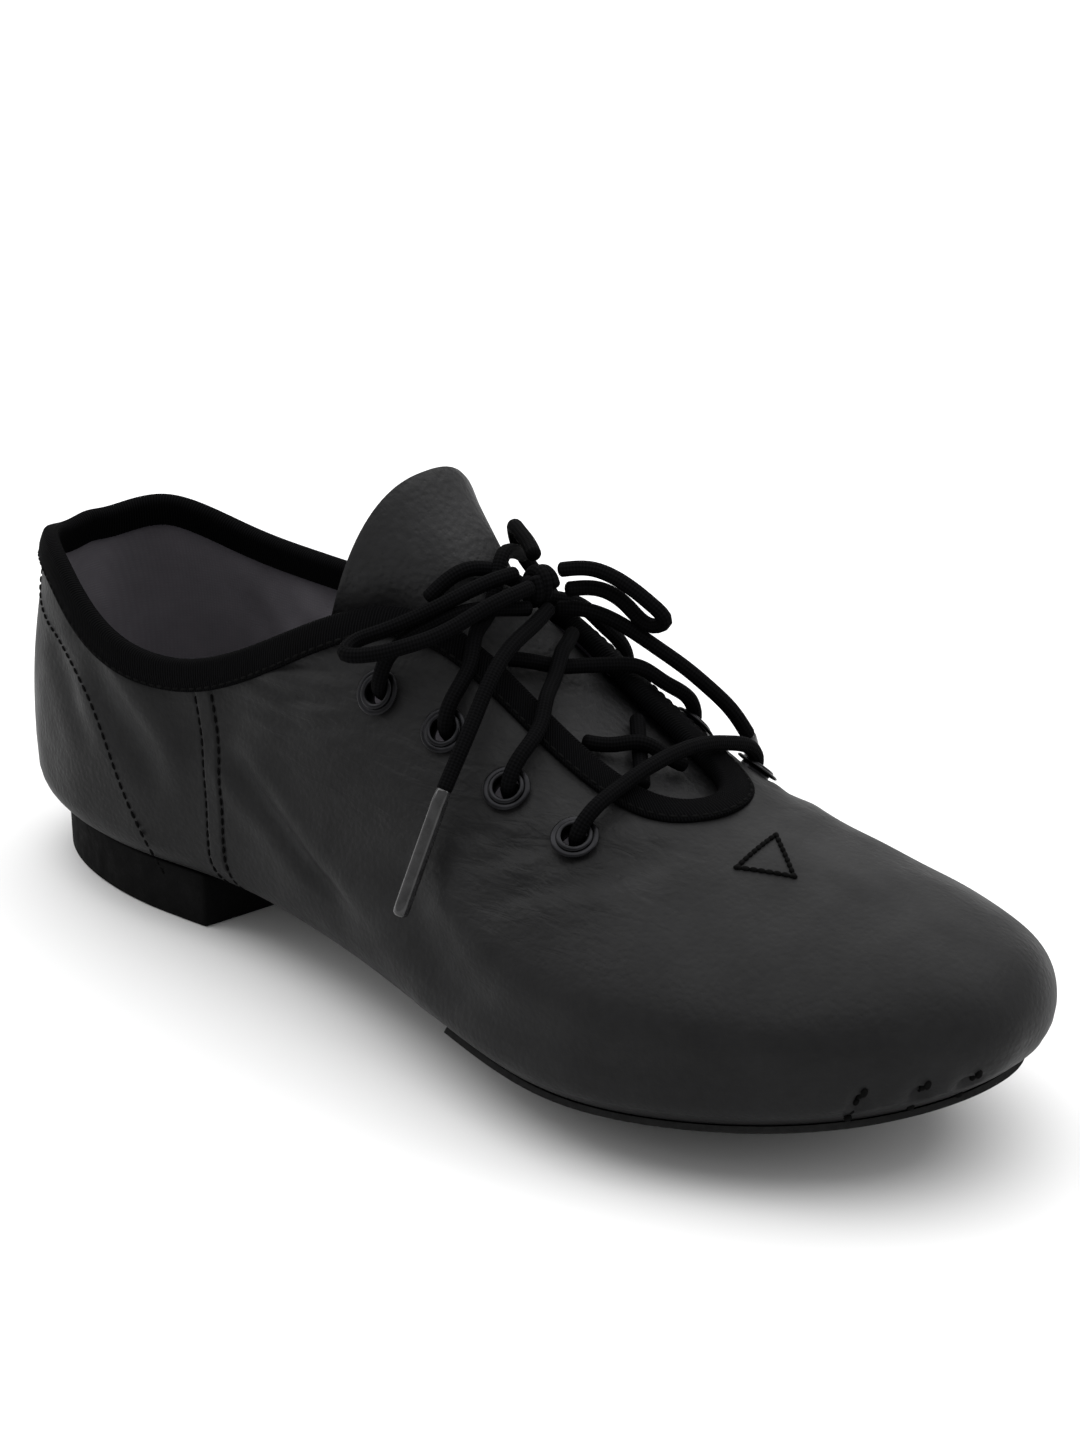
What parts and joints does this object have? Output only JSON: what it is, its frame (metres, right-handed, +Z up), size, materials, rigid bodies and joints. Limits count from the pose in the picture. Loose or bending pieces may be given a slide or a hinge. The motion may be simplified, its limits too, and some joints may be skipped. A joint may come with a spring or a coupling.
{
  "type": "jazz shoe",
  "caption": "Low split-sole jazz shoe for the right foot: soft leather upper, laced throat with a ribbon-bound rim, raised tongue, suede forefoot patch and low rubber heel.",
  "frame": {"origin": "on the floor, under the centre of the upper's box", "axes": "+X from heel to toe, +Y to the inner side of the foot, +Z up"},
  "size_m": [0.245, 0.0897, 0.103],
  "materials": {
    "leather": "soft grain, slight sheen",
    "lining": "matt woven lining",
    "ribbon": "matt ribbed ribbon",
    "rubber": "matt",
    "suede": "napped",
    "gunmetal": "dark satin enamel",
    "cord": "round braided cord",
    "clear_tip": "clear film over dark cord"
  },
  "bodies": {
    "root": {"binding": "ribbon", "eyelet_inner_1": "gunmetal", "eyelet_inner_2": "gunmetal", "eyelet_inner_3": "gunmetal", "eyelet_inner_4": "gunmetal", "eyelet_outer_1": "gunmetal", "eyelet_outer_2": "gunmetal", "eyelet_outer_3": "gunmetal", "eyelet_outer_4": "gunmetal", "forefoot_sole": "suede", "heel": "rubber", "insole": "lining", "lace_bar": "cord", "lace_crossing_1": "cord", "lace_crossing_2": "cord", "lace_crossing_3": "cord", "lace_end_inner": "cord", "lace_end_outer": "cord", "lace_knot": "cord", "lace_loop_inner": "cord", "lace_loop_outer": "cord", "lace_tie_inner": "cord", "lace_tie_outer": "cord", "lace_tip_inner": "clear_tip", "lace_tip_outer": "clear_tip", "tongue": "leather", "upper": "leather"}
  },
  "joints": []
}
